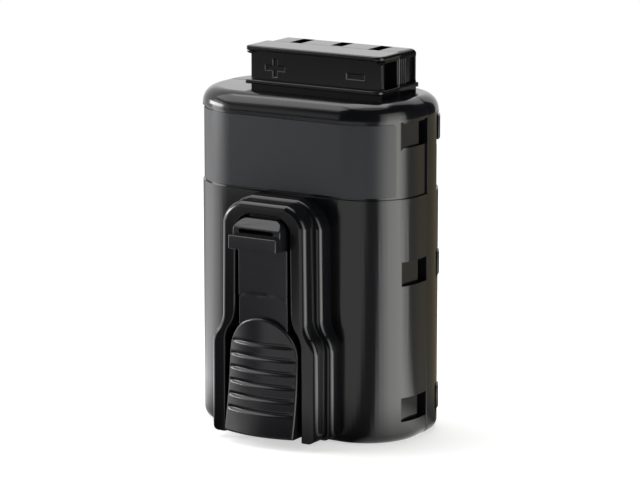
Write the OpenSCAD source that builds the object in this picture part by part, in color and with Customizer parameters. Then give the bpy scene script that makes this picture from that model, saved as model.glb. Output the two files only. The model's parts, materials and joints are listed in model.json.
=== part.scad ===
// Two-cell power tool battery pack: a snap-together clamshell with a contact tower
// on top and a sprung latch lever in a raised surround on the front.
// The parting plane is Y = 0, the front (latch side) faces -Y and the pack stands on Z = 0.

/* [Housing] */
// Width of the oval housing
body_w = 50; // [46:0.5:60]
// Depth of the front shell, from the parting plane to its flat front
front_d = 15.1; // [14:0.1:18]
// Depth of the rear shell, from the parting plane to its flat back
rear_d = 13.4; // [12.6:0.1:17]
// Radius of the housing's upright corners
corner_r = 12.2; // [10:0.1:12.5]
// Wall thickness of both shells
wall = 2; // [1.8:0.1:2.4]
// Fillet round the shoulder
shoulder_r = 3.4; // [2:0.1:5]
// Fillet round the base
base_r = 2; // [1:0.1:3]

/* [Label] */
// Height of the lower edge of the label band above the base
band_low = 50.6; // [49.6:0.1:54]
// Height of the upper edge of the label band
band_high = 66.3; // [60:0.1:66.6]
// Depth of the label band below the housing's surface
band_depth = 0.45; // [0.3:0.05:0.6]
// Where the band starts again on the rear shell, behind the parting plane
band_back = 4.4; // [2:0.1:4.6]
// Thickness of the label film
label_t = 0.2; // [0.1:0.05:0.3]
// Margin between the label and the edges of its band
label_margin = 0.5; // [0.3:0.1:1.5]
// How far in front of the parting plane the label ends
label_end = 7.7; // [6.8:0.1:10]
// Corner radius of the label
label_r = 1.4; // [0.5:0.1:3]

/* [Contact tower] */
// Sideways offset of the tower from the housing's middle
tower_x = 2.7; // [0:0.1:4]
// Length of the tower
tower_l = 31; // [29:0.5:36]
// Depth of the tower, front to back
tower_d = 13.8; // [13:0.1:16]
// Height of the tower above the housing's shoulder
tower_h = 8.7; // [8:0.1:11]
// Wall thickness of the tower
tower_wall = 1.2; // [1:0.1:1.5]
// Overhang of the lip along the tower's front top edge
lip_out = 0.75; // [0.3:0.05:1.2]
// Height of that lip
lip_h = 1.1; // [0.8:0.1:1.6]
// Overhang of the bead round the tower's foot
bead_out = 1.1; // [0.5:0.1:1.6]
// Height of that bead
bead_h = 0.9; // [0.5:0.1:1.4]
// Height of the neck below the bead
neck_h = 0.8; // [0.4:0.1:1.2]
// Rounding of the tower's rear and end top edges
tower_r = 1.1; // [0.5:0.1:1.2]
// Width of a contact slot
slot_w = 2.7; // [2.4:0.1:3.4]
// Length of the outer contact slots, back from the parting plane
slot_l = 6; // [5:0.1:6.2]
// How much shorter the middle slot is
key_step = 1; // [0.5:0.1:2]
// Spacing of the contact slots
slot_pitch = 9.3; // [8.5:0.1:10]
// Width of the recess in the front half of the tower's right end
end_recess_w = 5.2; // [4:0.1:5.3]
// Depth of that recess
end_recess_d = 3; // [1:0.1:3.5]
// Depth of the shallow panel in the rear half of that end
end_panel_d = 0.7; // [0.3:0.1:0.9]
// Number of grooves in the column between recess and panel
column_grooves = 3; // [2:1:4]
// Width of one of these grooves
column_groove_w = 0.4; // [0.2:0.05:0.5]

/* [Latch surround] */
// How far the surround stands out of the housing's front
boss_h = 8.1; // [7:0.1:9]
// How far its lower, outer step stands out
step_h = 3.9; // [3:0.1:5]
// Half width of the surround's face at the top
boss_top_w = 10; // [9:0.1:11]
// Half width of the surround's face at the foot
boss_foot_w = 12.5; // [11.6:0.1:13]
// How much wider the outer step is, on each side
step_out = 1.2; // [0.8:0.1:2]
// Height of the top of the surround's face
boss_top = 50.1; // [49.8:0.1:51]
// How much higher the outer step is
step_rise = 0.5; // [0.2:0.1:1]
// Corner radius at the top of the surround's face
boss_r = 4.6; // [3:0.1:6]
// Height of the surround's lower end
boss_low = 1.4; // [0.6:0.1:2]
// Corner radius at that lower end
boss_low_r = 1.8; // [0.5:0.1:2.5]
// Radius of the rolled rim round the surround's face
rim_r = 1.2; // [0.6:0.1:1.4]
// Radius of the rolled rim round the outer step
step_rim_r = 1.1; // [0.6:0.1:1.2]
// Height where the surround starts to flare
flare_high = 26.4; // [24:0.1:30]
// Height where the flare ends
flare_low = 19.6; // [16:0.1:22]

/* [Latch lever] */
// Half width of the lever's arm
arm_w = 5.8; // [5:0.1:6.2]
// Thickness of the arm
arm_t = 2.2; // [1.8:0.1:2.6]
// Height of the lever's top
lever_top = 46.8; // [46:0.1:47]
// Side gap between the lever and its channel
channel_gap = 0.9; // [0.6:0.1:1.2]
// Gap between the lever's top and the end of its channel
top_gap = 0.7; // [0.6:0.1:1]
// Height of the underside of the catch
catch_low = 40.8; // [38:0.1:42]
// Height of the catch's front face
catch_h = 2.8; // [2:0.1:3.4]
// How far the catch stands out of the arm
catch_out = 4; // [3:0.1:4.4]
// Half width of the catch
catch_w = 5.6; // [4.6:0.1:5.8]
// Corner radius of the lever's top
hood_r = 2.4; // [1:0.1:3]
// Half width of the cored slot over the catch
hood_slot_w = 4.1; // [3:0.1:4.6]
// Height of that slot
hood_slot_h = 0.9; // [0.6:0.1:1.2]
// Height of the curved crease where the arm is relieved
relief_top = 31.5; // [29:0.1:34]
// Radius of that crease
relief_r = 18; // [12:0.5:30]
// Depth of the relief
relief_d = 0.2; // [0.1:0.05:0.4]
// Half width of the thumb pad
pad_w = 8.2; // [7.6:0.1:8.6]
// Height of the top of the pad's dome
pad_top = 26.4; // [24:0.1:28]
// Height of the pad's lower edge
pad_low = 2.2; // [1.8:0.1:3]
// How far the pad stands out of the arm, at its top
pad_out = 1.1; // [0.6:0.1:1.6]
// How far the pad's scooped face swings out from its top to its foot
pad_swing = 2.3; // [1:0.1:2.8]
// Crown of the pad across its width
pad_crown = 1; // [0.6:0.1:1.4]
// Number of finger grooves in the pad
grooves = 6; // [4:1:7]
// Spacing of the finger grooves
groove_pitch = 2.8; // [2.4:0.05:3]
// Distance of the first groove below the start of the scoop
groove_start = 1.2; // [0.6:0.1:2]
// Depth of a finger groove at the pad's crown
groove_depth = 0.7; // [0.4:0.1:0.8]
// Radius of the groove cutter
groove_r = 0.95; // [0.85:0.05:1.2]
// Height of the pivot above the base
pivot_z = 4.6; // [4.4:0.1:5.4]
// Distance of the pivot in front of the housing's front
pivot_out = 4.1; // [3.4:0.1:4.6]
// Radius of the lever's foot round the pivot
foot_r = 2.2; // [2:0.1:2.4]
// Radius of the trunnions
trunnion_r = 1.25; // [1:0.05:1.5]
// Length of each trunnion beyond the foot
trunnion_l = 2; // [1.5:0.1:2.2]
// Running clearance of the trunnions, on the radius
trunnion_gap = 0.06; // [0.03:0.01:0.1]
// Height of the return spring's middle
spring_z = 33; // [30:0.5:36]
// Outer diameter of the return spring
spring_d = 5; // [4:0.1:6]
// Wire diameter of the return spring
wire_d = 0.6; // [0.5:0.05:0.7]
// Turns of the return spring
spring_turns = 5; // [4:1:6]

/* [Snaps] */
// Height of the middle of the lowest snaps
snap_low = 6.9; // [6.6:0.1:8]
// Spacing of the snaps up the side
snap_pitch = 28.25; // [27:0.05:28.6]
// Height of a snap hook
snap_h = 5; // [4:0.1:5.4]
// Length of the finger pocket beside the seam
pocket_l = 6.5; // [5:0.1:7]
// Length of the open strip at the pocket's deep end
strip_l = 1.9; // [1.2:0.1:2.4]
// Depth of the pocket's sloping floor at that strip
pocket_d = 1.1; // [0.6:0.1:1.4]
// Where the window starts behind the seam
window_start = 4.7; // [4:0.1:5.4]
// Length of the window
window_l = 3.5; // [3:0.1:4]
// Thickness of a snap tongue
tongue_t = 1.2; // [1:0.1:1.4]
// How far a hook stands proud of the rear shell
hook_proud = 0.3; // [0.1:0.05:0.4]

/* [Cells] */
// Length of a cell over its button
cell_l = 65; // [64.6:0.1:65.2]
// Diameter of a cell over its sleeve
cell_d = 18.5; // [18:0.1:18.8]
// Spacing of the two cells
cell_pitch = 19.4; // [19:0.1:20.4]
// Thickness of the sleeve
sleeve_t = 0.15; // [0.1:0.05:0.25]
// Thickness of the metal straps
strap_t = 0.2; // [0.15:0.05:0.3]
// Thickness of the foam pad under the cells
pad_t = 0.5; // [0.4:0.1:1]
// Thickness of the insulating card over the cells
card_t = 0.3; // [0.2:0.1:0.6]
// Height of each cell holder
holder_h = 12; // [8:0.5:16]
// Diameter of a cell's positive button
button_d = 6.4; // [5:0.1:8]
// Height of the button above the can's rim
button_h = 1.4; // [1:0.1:1.8]
// Diameter of the cap under the button
cap_d = 11.1; // [9:0.1:12]
// Depth of the cap's seat below the rim
cap_seat = 1.2; // [0.8:0.1:1.6]
// Width of the crimped rim
crimp_w = 1.1; // [0.8:0.1:1.4]
// Depth of the groove rolled round the can
roll_d = 0.7; // [0.4:0.1:1]
// Width of the strap between the cells
series_w = 7; // [5:0.5:9]
// Width of the straps on the upper ends
strap_w = 6; // [5:0.5:8]
// Width of the tabs up to the board
tab_w = 4; // [3:0.1:5]

/* [Electronics] */
// Thickness of the circuit board
board_t = 1; // [0.8:0.1:1.2]
// Clearance round the circuit board
board_gap = 0.25; // [0.15:0.05:0.4]
// Height of the contact blades above the board
blade_h = 6; // [5:0.1:6.4]
// Thickness of the contact metal
blade_t = 0.4; // [0.3:0.05:0.5]
// Gap between the two blades of a contact at their mouth
blade_gap = 0.6; // [0.4:0.1:1]
// Width of a contact over its blades
contact_w = 3.4; // [3:0.1:4]
// Length of a contact along its slot
contact_l = 3.2; // [2.6:0.1:3.4]
// Length of a power transistor
transistor_l = 5; // [4:0.1:5.4]
// Height of a power transistor
transistor_h = 1.5; // [1:0.1:2]
// Length of the control chip
chip_l = 4.4; // [3.6:0.1:4.8]
// Height of the control chip
chip_h = 1.1; // [0.8:0.1:1.6]
// Length of the shunt resistor
shunt_l = 3.2; // [2.6:0.1:3.6]
// Height of the shunt resistor
shunt_h = 0.6; // [0.4:0.1:1]
// Depth of these parts, front to back
part_w = 4; // [3:0.1:4.6]
// Length of a capacitor
capacitor_l = 1; // [0.8:0.1:1.4]
// Depth of a capacitor
capacitor_w = 0.8; // [0.5:0.1:1]
// Spacing of the parts along the board
part_gap = 1; // [0.6:0.1:1.2]
// Diameter of the thermistor's bead
bead_d = 2; // [1.4:0.1:2]
// How far the thermistor sits in front of the cells' middles
bead_out_y = 4; // [3.9:0.1:4.4]
// Diameter of the thermistor's leads
lead_d = 0.5; // [0.4:0.05:0.6]

/* [Hidden] */
$fn = 96;
// clearance between neighbouring pieces that don't run on each other
fit_gap = 0.2;
// small overlap that lets joined or cut volumes pass cleanly through a face
eps = 0.02;
// gap round a snap hook in its window
window_gap = 0.5;

// the stack of pad, straps, cells and card sets the housing's height
pad_z = wall;
strap_z = pad_z + pad_t;
cell_z = strap_z + strap_t;
cell_top = cell_z + cell_l;
card_z = cell_top + strap_t;
body_h = card_z + card_t + wall;
ceiling = body_h - wall;

tower_top = body_h + tower_h;
tower_left = tower_x - tower_l / 2;
tower_right = tower_x + tower_l / 2;
tower_roof = tower_top - tower_wall;
bead_z = body_h + neck_h;
slot_x = [for (i = [-1:1]) tower_x + i * slot_pitch];

front_y = -front_d;
step_y = front_y - step_h;
face_y = front_y - boss_h;
arm_back = face_y + arm_t;
pivot_y = front_y - pivot_out;
channel_w = arm_w + channel_gap;
channel_foot_w = pad_w + channel_gap;
channel_top = lever_top + top_gap;
channel_r = 3;
// where the hollow of a flare meets the upright side above it
rim_back = 0.3;
// the pad's face is part of a ring round an axis in front of the pack
scoop_z = pad_top - pad_w / 2;
scoop_r = (pow(scoop_z - pad_low, 2) + pad_swing * pad_swing) / (2 * pad_swing);
// a lip behind the lever's top stops it flush with the surround
stop_w = 4;
stop_rise = 1.5;
stop_t = 0.9;

snap_z = [for (i = [0:2]) snap_low + i * snap_pitch];
tongue_in = wall + fit_gap;
hook_start = window_start + fit_gap;
hook_end = window_start + window_l - fit_gap;
window_h = snap_h + 2 * window_gap;

holder_in = tongue_in + tongue_t + 2 * fit_gap;
cell_y = (rear_d - front_d) / 2;
can_r = cell_d / 2 - sleeve_t - 0.05;
bore_r = cell_d / 2 + 0.1;

board_z = ceiling + wall / 2;
board_top = board_z + board_t;
board_l = tower_l - 2 * (tower_wall + board_gap);
board_w = tower_d - 2 * (tower_wall + board_gap);
shelf = 1.6;
contact_y = key_step + blade_t;
contact_room = 0.3;
carrier_wall = 0.9;
thermistor_y = cell_y - bead_out_y;
bead_hole = bead_d / 2 + 0.5;

// the grooves share the column between the parting plane and the end panel
column_step = tower_d / 5 / (column_grooves + 0.5);

// the label band starts above the latch surround
label_low = max(band_low, boss_top + step_rise);

// a cell's rim stands below its button
rim = cell_l - button_h;

// the strap tabs come up through the board's opening in the ceiling
tab_room = shelf + tower_wall + fit_gap + tab_w / 2;
positive_x = max(-cell_pitch / 2, tower_left + tab_room);
negative_x = min(cell_pitch / 2, tower_right - tab_room);

// the parts follow each other along the front of the board
part_y = -tower_d / 2 + tower_wall + board_gap + 0.45 + part_w / 2;
part_l = [transistor_l, transistor_l, chip_l, capacitor_l, shunt_l];
part_start = 1.75;
function part_left(i) = tower_x - board_l / 2 + part_start + i * part_gap
  + (i > 0 ? part_left_sum(i - 1) : 0);
function part_left_sum(i) = part_l[i] + (i > 0 ? part_left_sum(i - 1) : 0);

// Plan of the housing, drawn in from its surface by inset
module oval(inset = 0) {
  r = corner_r - inset;
  cx = body_w / 2 - corner_r;
  y0 = front_y + corner_r;
  y1 = rear_d - corner_r;
  for (x = [-cx, cx], y = [y0, y1]) translate([x, y]) circle(r);
  translate([-cx - r, y0]) square([2 * (cx + r), y1 - y0]);
  translate([-cx, y0 - r]) square([2 * cx, y1 - y0 + 2 * r]);
}

// Side view of a filleted slab from a to b
module slab_profile(a, b, z0, z1, top_r, low_r) {
  translate([a, z0 + low_r]) square([b - a, z1 - z0 - low_r - top_r]);
  translate([a + top_r, z1 - 2 * top_r]) square([b - a - 2 * top_r, 2 * top_r]);
  translate([a + low_r, z0]) square([b - a - 2 * low_r, 2 * low_r]);
  for (x = [a + top_r, b - top_r]) translate([x, z1 - top_r]) circle(top_r);
  for (x = [a + low_r, b - low_r]) translate([x, z0 + low_r]) circle(low_r);
}

// One filleted corner of the housing, turned from its half profile
module corner_post(r, z0, z1, top_r, low_r) {
  rotate_extrude() {
    translate([0, z0 + low_r]) square([r, z1 - z0 - low_r - top_r]);
    translate([0, z1 - 2 * top_r]) square([r - top_r, 2 * top_r]);
    translate([0, z0]) square([r - low_r, 2 * low_r]);
    translate([r - top_r, z1 - top_r]) circle(top_r);
    translate([r - low_r, z0 + low_r]) circle(low_r);
  }
}

// The oval as a solid with filleted top and bottom edges
module oval_solid(inset, z0, z1, top_r, low_r) {
  r = corner_r - inset;
  cx = body_w / 2 - corner_r;
  y0 = front_y + corner_r;
  y1 = rear_d - corner_r;
  for (x = [-cx, cx], y = [y0, y1]) translate([x, y]) corner_post(r, z0, z1, top_r, low_r);
  translate([-cx, 0]) rotate([90, 0, 90]) linear_extrude(2 * cx)
    slab_profile(y0 - r, y1 + r, z0, z1, top_r, low_r);
  translate([0, y1]) rotate([90, 0, 0]) linear_extrude(y1 - y0)
    slab_profile(-cx - r, cx + r, z0, z1, top_r, low_r);
}

module shell_walls() {
  difference() {
    oval_solid(0, 0, body_h, shoulder_r, base_r);
    oval_solid(wall, wall, ceiling, max(shoulder_r - wall, 0.6), 0.6);
    label_band();
  }
}

// Ring of housing skin between two insets and two heights
module skin(in0, in1, z0, z1) {
  translate([0, 0, z0]) linear_extrude(z1 - z0) difference() {
    oval(in0);
    oval(in1);
  }
}

// Recess round the front shell, and again round the back of the rear shell
module label_band() {
  difference() {
    skin(-1, band_depth, label_low, band_high);
    block(-body_w, body_w, 0, band_back, 0, body_h);
  }
}

module front_half() {
  translate([-body_w, -body_w, -1]) cube([2 * body_w, body_w, 2 * body_h]);
}

module rear_half() {
  translate([-body_w, 0, -1]) cube([2 * body_w, body_w, 2 * body_h]);
}

// Block between two corners
module block(x0, x1, y0, y1, z0, z1) {
  translate([x0, y0, z0]) cube([x1 - x0, y1 - y0, z1 - z0]);
}

// Upright prism: a plan seen from the front, pushed from y0 to y1
module front_prism(y0, y1) {
  translate([0, y1, 0]) rotate([90, 0, 0]) linear_extrude(y1 - y0) children();
}

// A prism along X whose outline is drawn in Y and Z
module side_prism(x0, x1) {
  translate([x0, 0, 0]) rotate([90, 0, 90]) linear_extrude(x1 - x0) children();
}

// Tower outline with rounded end and rear top edges
module tower_block(grow, z0, z1, r) {
  x0 = tower_left - grow;
  x1 = tower_right + grow;
  y0 = -tower_d / 2 - grow;
  y1 = tower_d / 2 + grow;
  intersection() {
    front_prism(y0, y1) union() {
      translate([x0, z0]) square([x1 - x0, z1 - z0 - r]);
      translate([x0 + r, z0]) square([x1 - x0 - 2 * r, z1 - z0]);
      for (x = [x0 + r, x1 - r]) translate([x, z1 - r]) circle(r);
    }
    side_prism(x0, x1) union() {
      translate([y0, z0]) square([y1 - y0, z1 - z0 - r]);
      translate([y0 + r, z0]) square([y1 - y0 - 2 * r, z1 - z0]);
      for (y = [y0 + r, y1 - r]) translate([y, z1 - r]) circle(r);
    }
  }
}

module tower_outside() {
  tower_block(0, body_h - wall / 2, tower_top, tower_r);
  tower_block(bead_out, bead_z, bead_z + bead_h, bead_h / 3);
}

// Room for the contacts, with a shelf left at each end for the board and,
// in the front half, a wall left behind the recess in the right end
module tower_inside() {
  x0 = tower_left + tower_wall;
  x1 = tower_right - tower_wall;
  y = tower_d / 2 - tower_wall;
  block(x0, x1, -y, y, board_z, board_top + 0.4);
  block(x0, x1, 0, y, board_top, tower_roof);
  block(x0, x1 - end_recess_d, -y, eps, board_top, tower_roof);
  block(x0 + shelf, x1 - shelf, -y, y, ceiling - eps, board_z + eps);
}

module front_tower() {
  tower_outside();
  intersection() {
    tower_block(lip_out, tower_top - lip_h, tower_top, lip_h * 0.8);
    front_half();
  }
}

// Outlines of the surround: half width at the top and at the foot, top, corner radius, flare
face_arch = [boss_top_w, boss_foot_w, boss_top, boss_r, flare_low, flare_high];
step_arch = [boss_top_w + step_out, boss_foot_w + step_out, boss_top + step_rise, boss_r + step_out,
  flare_low, flare_high];
channel_arch = [channel_w, channel_foot_w, channel_top, channel_r, flare_low + channel_gap,
  flare_high + channel_gap];

// The flare is an S of two equal arcs, tangent to the upright sides
function flare_turn(a) = 2 * atan((a[1] - a[0]) / (a[5] - a[4]));
function flare_r(a) = (a[5] - a[4]) / (2 * sin(flare_turn(a)));

// Seen from the front, an inverted U that widens towards its foot
module arch(a, low, inset = 0) {
  r = flare_r(a);
  top_w = a[0] - inset;
  corner = a[3] - inset;
  translate([inset - a[1], low]) square([2 * (a[1] - inset), a[4] - low]);
  translate([-top_w, low]) square([2 * top_w, a[2] - a[3] - low]);
  translate([corner - top_w, low]) square([2 * (top_w - corner), a[2] - inset - low]);
  for (side = [-1, 1]) {
    translate([side * (a[0] - a[3]), a[2] - a[3]]) circle(corner);
    translate([side * (a[1] - r), a[4]]) circle(r - inset);
  }
  difference() {
    polygon([[a[1] - r, low], [a[1] - r, a[4]], [a[0] + r, a[5]],
      [-a[0] - r, a[5]], [r - a[1], a[4]], [r - a[1], low]]);
    for (side = [-1, 1]) translate([side * (a[0] + r), a[5]]) circle(r + inset);
  }
}

// Section of an upright slab with rolled front edges, seen from above
module rolled_slab(w, y0, y1, r) {
  translate([-w, y0 + r]) square([2 * w, y1 - y0 - r]);
  translate([r - w, y0]) square([2 * (w - r), y1 - y0]);
  for (x = [r - w, w - r]) translate([x, y0 + r]) circle(r);
}

// Round post along Y with a rolled front edge
module rolled_post(radius, y0, y1, r) {
  rotate([-90, 0, 0]) rotate_extrude() {
    translate([0, y0 + r]) square([radius, y1 - y0 - r]);
    translate([0, y0]) square([radius - r, y1 - y0]);
    translate([radius - r, y0 + r]) circle(r);
  }
}

// Cutter that leaves a hollow flank with a rolled front edge
module rolled_hollow(radius, y0, y1, r) {
  rotate([-90, 0, 0]) rotate_extrude() {
    translate([0, y0 - 1]) square([radius, y1 - y0 + 2]);
    difference() {
      translate([0, y0 - 1]) square([radius + r, r + 1]);
      translate([radius + r, y0 + r]) circle(r);
    }
  }
}

// One tier of the surround from y1 out to y0, with a rolled rim and round lower corners
module tier(a, y0, y1, r) {
  fr = flare_r(a);
  foot = a[1];
  blend = flare_turn(a) + 3;
  rise = a[5] - a[4] - rim_back;
  intersection() {
    union() {
      translate([0, 0, boss_low]) linear_extrude(a[4] - boss_low) rolled_slab(foot, y0, y1, r);
      translate([0, 0, boss_low]) linear_extrude(a[2] - a[3] - boss_low) rolled_slab(a[0], y0, y1, r);
      side_prism(a[3] - a[0], a[0] - a[3]) union() {
        translate([y0, boss_low]) square([y1 - y0, a[2] - r - boss_low]);
        translate([y0 + r, boss_low]) square([y1 - y0 - r, a[2] - boss_low]);
        translate([y0 + r, a[2] - r]) circle(r);
      }
      for (side = [-1, 1]) {
        translate([side * (foot - fr), 0, a[4]]) rolled_post(fr, y0, y1, r);
        translate([side * (a[0] - a[3]), 0, a[2] - a[3]]) rolled_post(a[3], y0, y1, r);
      }
      difference() {
        front_prism(y0, y1) polygon([[foot - fr, boss_low], [foot - fr, a[4]],
          [foot - fr + rise / tan(blend), a[4] + rise], [fr - foot - rise / tan(blend), a[4] + rise],
          [fr - foot, a[4]], [fr - foot, boss_low]]);
        for (side = [-1, 1]) translate([side * (a[0] + fr), 0, a[5]]) rolled_hollow(fr, y0, y1, r);
      }
    }
    front_prism(y0 - 1, y1 + 1) union() {
      translate([-foot - 1, boss_low + boss_low_r]) square([2 * foot + 2, a[2]]);
      translate([boss_low_r - foot, boss_low - 1]) square([2 * (foot - boss_low_r), boss_low_r + 2]);
      for (x = [boss_low_r - foot, foot - boss_low_r]) translate([x, boss_low + boss_low_r])
        circle(boss_low_r);
    }
  }
}

module latch_surround() {
  tier(step_arch, step_y, front_y + wall / 2, step_rim_r);
  tier(face_arch, face_y, step_y + step_rim_r, rim_r);
}

module latch_channel() {
  front_prism(face_y - 1, front_y) arch(channel_arch, -boss_h);
  // pocket for the stop lip, and blind sockets for the trunnions
  block(-stop_w - fit_gap, stop_w + fit_gap, arm_back - stop_t - fit_gap, front_y,
    channel_top - channel_r, channel_top + stop_rise);
  trunnions(trunnion_r + trunnion_gap, trunnion_l + channel_gap + fit_gap);
}

module trunnions(r, reach) {
  translate([-pad_w - reach, pivot_y, pivot_z]) rotate([0, 90, 0])
    cylinder(r = r, h = 2 * (pad_w + reach));
}

module spring_peg() {
  translate([0, front_y + eps, spring_z]) rotate([90, 0, 0])
    cylinder(d = spring_d - 2 * wire_d - 2 * fit_gap, h = 1.6);
}

// Finger pocket beside the seam, with a sloping floor and an open strip at its deep end
module snap_pocket() {
  x = body_w / 2;
  edge_x = x - corner_r + sqrt(corner_r * corner_r - pow(max(pocket_l - front_d + corner_r, 0), 2));
  for (z = snap_z) translate([0, 0, z - snap_h / 2]) linear_extrude(snap_h)
    polygon([[edge_x, -pocket_l], [x - pocket_d, -strip_l], [x - tongue_in, -strip_l],
      [x - tongue_in, eps], [x + 2, eps], [x + 2, -pocket_l]]);
}

// Tongues that reach inside the rear shell and hook out through its windows
module snap_tongues() {
  for (z = snap_z) intersection() {
    union() {
      intersection() {
        skin(tongue_in, tongue_in + tongue_t, z - snap_h / 2, z + snap_h / 2);
        block(0, body_w, -pocket_l - wall, hook_end, z - snap_h, z + snap_h);
      }
      intersection() {
        skin(wall / 2, tongue_in + tongue_t, z - snap_h / 2, z + snap_h / 2);
        block(0, body_w, -pocket_l - wall, -strip_l, z - snap_h, z + snap_h);
      }
      intersection() {
        skin(-hook_proud, tongue_in + tongue_t, z - snap_h / 2, z + snap_h / 2);
        block(0, body_w, hook_start, hook_end, z - snap_h, z + snap_h);
      }
    }
    block(body_w / 4, body_w, -body_w, body_w, 0, body_h);
  }
}

module both_sides() {
  children();
  mirror([1, 0, 0]) children();
}

module front_shell() {
  color("#17181a") {
    difference() {
      union() {
        intersection() { shell_walls(); front_half(); }
        intersection() { front_tower(); front_half(); }
        latch_surround();
      }
      latch_channel();
      tower_inside();
      both_sides() snap_pocket();
      // open recess in the tower's right end
      block(tower_right - end_recess_d, tower_right + bead_out + 1,
        -tower_d / 2 + tower_wall * 0.8, -tower_d / 2 + tower_wall * 0.8 + end_recess_w,
        bead_z + bead_h, tower_top - lip_h - 0.4);
    }
    spring_peg();
    both_sides() snap_tongues();
  }
}

module rear_shell() {
  color("#1a1b1d") difference() {
    union() {
      intersection() { shell_walls(); rear_half(); }
      intersection() { tower_outside(); rear_half(); }
    }
    tower_inside();
    for (i = [0:2])
      block(slot_x[i] - slot_w / 2, slot_x[i] + slot_w / 2, i == 1 ? key_step : -eps, slot_l,
        tower_roof - eps, tower_top + 1);
    both_sides() for (z = snap_z)
      block(body_w / 4, body_w, window_start, window_start + window_l,
        z - window_h / 2, z + window_h / 2);
    // shallow panel in the tower's right end, and the grooved column in front of it
    block(tower_right - end_panel_d, tower_right + bead_out + 1, tower_d / 5,
      tower_d / 2 - tower_wall / 3, bead_z + bead_h, tower_top - tower_r - 0.5);
    for (i = [1:column_grooves])
      block(tower_right - end_panel_d / 2, tower_right + bead_out + 1,
        column_step * i - column_groove_w, column_step * i, bead_z + bead_h, tower_top - tower_r - 0.5);
  }
}

module front_label() {
  z0 = label_low + label_margin;
  z1 = band_high - label_margin;
  color("#3a3b3e") intersection() {
    skin(band_depth - label_t, band_depth, z0, z1);
    side_prism(-body_w, body_w) union() {
      translate([-body_w, z0]) square([body_w - label_end - label_r, z1 - z0]);
      translate([-body_w, z0 + label_r]) square([body_w - label_end, z1 - z0 - 2 * label_r]);
      for (z = [z0 + label_r, z1 - label_r]) translate([-label_end - label_r, z]) circle(label_r);
    }
  }
}

// Thumb pad: a round-headed plan with a crowned, scooped face and lens-shaped grooves
module thumb_pad() {
  barrel_r = (pad_w * pad_w + pad_crown * pad_crown) / (2 * pad_crown);
  crown_y = face_y - pad_out;
  difference() {
    front_prism(face_y - boss_h, arm_back) pad_plan();
    translate([0, crown_y - scoop_r, scoop_z]) {
      rotate([0, 90, 0]) rotate_extrude() difference() {
        translate([0, -body_w / 2]) square([scoop_r + 2 * pad_crown, body_w]);
        translate([scoop_r + barrel_r, 0]) circle(barrel_r);
      }
      for (i = [0:grooves - 1])
        rotate([-(groove_start + i * groove_pitch) / scoop_r * 180 / PI, 0, 0])
          translate([-body_w / 2, scoop_r + groove_depth - groove_r, 0])
            rotate([0, 90, 0]) cylinder(r = groove_r, h = body_w);
    }
  }
}

// Round-headed plan of the pad, seen from the front
module pad_plan() {
  translate([-pad_w, pad_low]) square([2 * pad_w, pad_top - pad_w - pad_low]);
  translate([0, pad_top - pad_w]) circle(pad_w);
}

// Catch with a lead-in ramp over it, a round-cornered top and a cored slot in the ramp
module catch() {
  z1 = catch_low + catch_h;
  ramp_out = catch_out * 0.58;
  slot_z = z1 + 0.3 + hood_slot_h / 2;
  slot_end = hood_slot_w - hood_slot_h / 2;
  difference() {
    intersection() {
      side_prism(-catch_w, catch_w)
        polygon([[arm_back, catch_low], [face_y - catch_out, catch_low], [face_y - catch_out, z1],
          [face_y - ramp_out, z1], [face_y - ramp_out, z1 + 1.4],
          [face_y - 0.4, lever_top], [arm_back, lever_top]]);
      front_prism(face_y - boss_h, arm_back) union() {
        translate([-catch_w, catch_low]) square([2 * catch_w, lever_top - hood_r - catch_low]);
        translate([hood_r - catch_w, catch_low])
          square([2 * (catch_w - hood_r), lever_top - catch_low]);
        for (x = [hood_r - catch_w, catch_w - hood_r]) translate([x, lever_top - hood_r])
          circle(hood_r);
      }
    }
    front_prism(face_y - boss_h, face_y - ramp_out + 1.8) union() {
      translate([-slot_end, slot_z - hood_slot_h / 2]) square([2 * slot_end, hood_slot_h]);
      for (x = [-slot_end, slot_end]) translate([x, slot_z]) circle(hood_slot_h / 2);
    }
  }
}

// Arm of the lever, relieved below a curved crease
module lever_arm() {
  difference() {
    block(-arm_w, arm_w, face_y, arm_back, pivot_z, catch_low + eps);
    front_prism(face_y - 1, face_y + relief_d) translate([0, relief_top - relief_r])
      circle(relief_r);
  }
}

module latch_lever() {
  color("#1c1d1f") difference() {
    union() {
      lever_arm();
      catch();
      block(-stop_w, stop_w, arm_back - stop_t, arm_back, lever_top - 1, lever_top + stop_rise);
      thumb_pad();
      // foot that carries the trunnions
      translate([-pad_w, pivot_y, pivot_z]) rotate([0, 90, 0]) cylinder(r = foot_r, h = 2 * pad_w);
      block(-pad_w, pad_w, arm_back - eps, pivot_y, pad_low + 0.2, pivot_z + foot_r - 0.4);
      trunnions(trunnion_r, trunnion_l);
    }
    translate([0, arm_back + eps, spring_z]) rotate([90, 0, 0])
      cylinder(d = spring_d + 2 * fit_gap, h = 0.8);
  }
}

// Round wire swept along a list of points
function ring(p, q, r, sides) = let (t = (q - p) / norm(q - p), u = [0, 1, 0],
  n = cross(t, u) / norm(cross(t, u)), b = cross(t, n))
  [for (k = [0:sides - 1]) p + r * (cos(360 * k / sides) * n + sin(360 * k / sides) * b)];

module wire(points, r, sides) {
  n = len(points);
  rings = [for (i = [0:n - 1]) let (a = max(i - 1, 0), b = min(i + 1, n - 1))
    ring(points[i], points[i] + points[b] - points[a], r, sides)];
  verts = [for (g = rings) each g];
  sides_faces = [for (i = [0:n - 2], k = [0:sides - 1]) let (m = (k + 1) % sides)
    each [[i * sides + k, (i + 1) * sides + k, (i + 1) * sides + m],
      [i * sides + k, (i + 1) * sides + m, i * sides + m]]];
  caps = [for (k = [1:sides - 2]) each [[0, k, k + 1],
    [(n - 1) * sides, (n - 1) * sides + k + 1, (n - 1) * sides + k]]];
  polyhedron(verts, concat(sides_faces, caps));
}

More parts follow.
